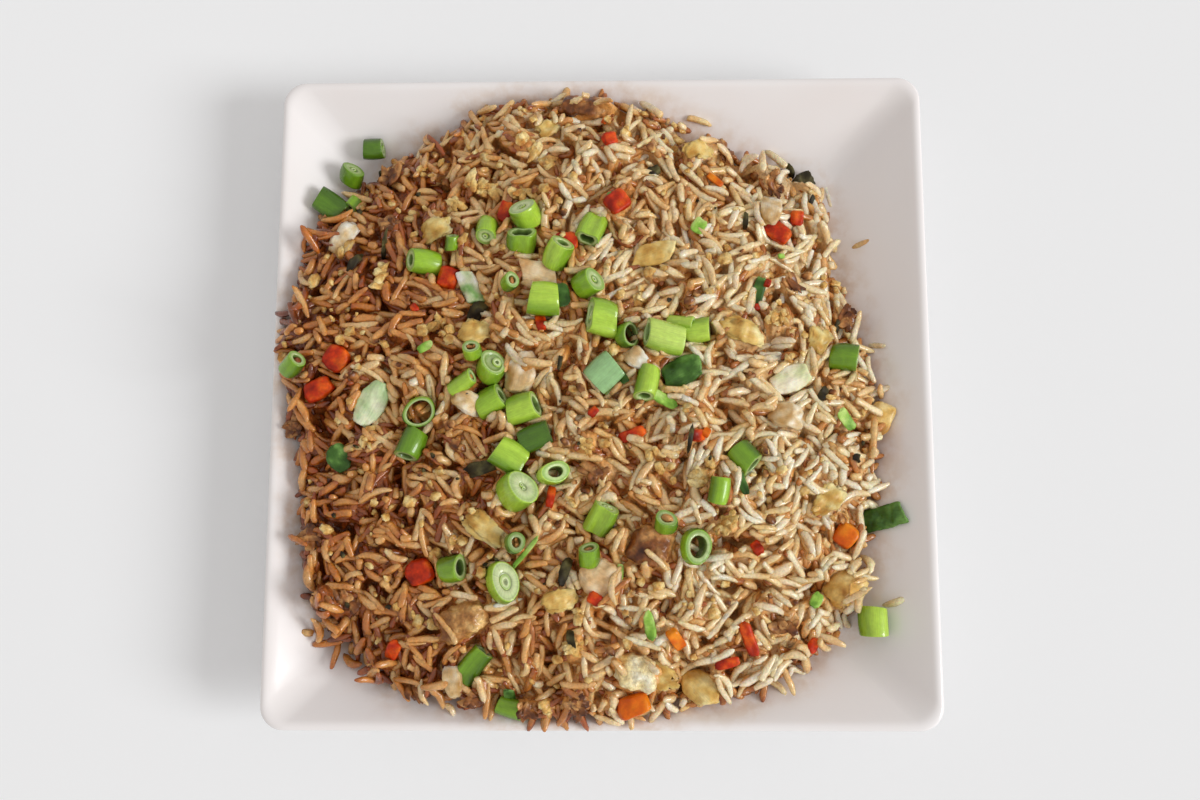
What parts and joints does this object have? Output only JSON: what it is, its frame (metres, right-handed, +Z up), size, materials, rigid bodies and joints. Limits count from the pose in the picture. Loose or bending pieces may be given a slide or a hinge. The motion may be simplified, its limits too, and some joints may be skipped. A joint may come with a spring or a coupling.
{
  "type": "fried rice plate",
  "caption": "Square white plate with sloping sides, heaped with fried rice, spring onion rings, cabbage, egg, meat, red pepper and carrot.",
  "frame": {"origin": "middle of the plate in plan, at the level its foot stands on", "axes": "+Z up, +X to the right and +Y away from the person eating, along the sides of the square plate"},
  "size_m": [0.254, 0.254, 0.0526],
  "materials": {
    "porcelain": "white glossy glaze",
    "rice": "oily boiled grains, browned with soy sauce",
    "spring_onion": "moist green skin, paler cut ends",
    "onion_leaf": "dark green leaf, slightly glossy",
    "cabbage": "pale cooked cabbage, translucent and oily",
    "white_onion": "soft cooked onion, translucent",
    "browned_cabbage": "golden, browned at the edges",
    "egg": "scrambled egg, browned in places",
    "meat": "browned cooked meat",
    "red_pepper": "glossy red skin",
    "carrot": "moist cut carrot"
  },
  "bodies": {
    "root": {"plate": "porcelain", "rice_heap": "rice", "spring_onion_01": "spring_onion", "spring_onion_02": "spring_onion", "spring_onion_03": "spring_onion", "spring_onion_04": "spring_onion", "spring_onion_05": "spring_onion", "spring_onion_06": "spring_onion", "spring_onion_07": "spring_onion", "spring_onion_08": "spring_onion", "spring_onion_09": "spring_onion", "spring_onion_10": "spring_onion", "spring_onion_11": "spring_onion", "spring_onion_12": "spring_onion", "spring_onion_13": "spring_onion", "spring_onion_14": "spring_onion", "spring_onion_15": "spring_onion", "spring_onion_16": "spring_onion", "spring_onion_17": "spring_onion", "spring_onion_18": "spring_onion", "spring_onion_19": "spring_onion", "spring_onion_20": "spring_onion", "spring_onion_21": "spring_onion", "spring_onion_22": "spring_onion", "spring_onion_23": "spring_onion", "spring_onion_24": "spring_onion", "spring_onion_25": "spring_onion", "spring_onion_26": "spring_onion", "spring_onion_27": "spring_onion", "spring_onion_28": "spring_onion", "spring_onion_29": "spring_onion", "spring_onion_30": "spring_onion", "spring_onion_31": "spring_onion", "spring_onion_32": "spring_onion", "spring_onion_33": "spring_onion", "spring_onion_34": "spring_onion", "spring_onion_35": "spring_onion", "leaf_01": "onion_leaf", "leaf_02": "onion_leaf", "leaf_03": "cabbage", "leaf_04": "cabbage", "leaf_05": "cabbage", "leaf_06": "cabbage", "leaf_07": "cabbage", "leaf_08": "cabbage", "cube_01": "red_pepper", "cube_02": "red_pepper", "cube_03": "red_pepper", "cube_04": "red_pepper", "cube_05": "red_pepper", "cube_06": "carrot", "cube_07": "carrot", "chunk_01": "white_onion", "chunk_02": "browned_cabbage", "chunk_03": "browned_cabbage", "chunk_04": "egg", "chunk_05": "egg", "chunk_06": "cabbage", "chunk_07": "meat", "chunk_08": "meat"}
  },
  "joints": []
}
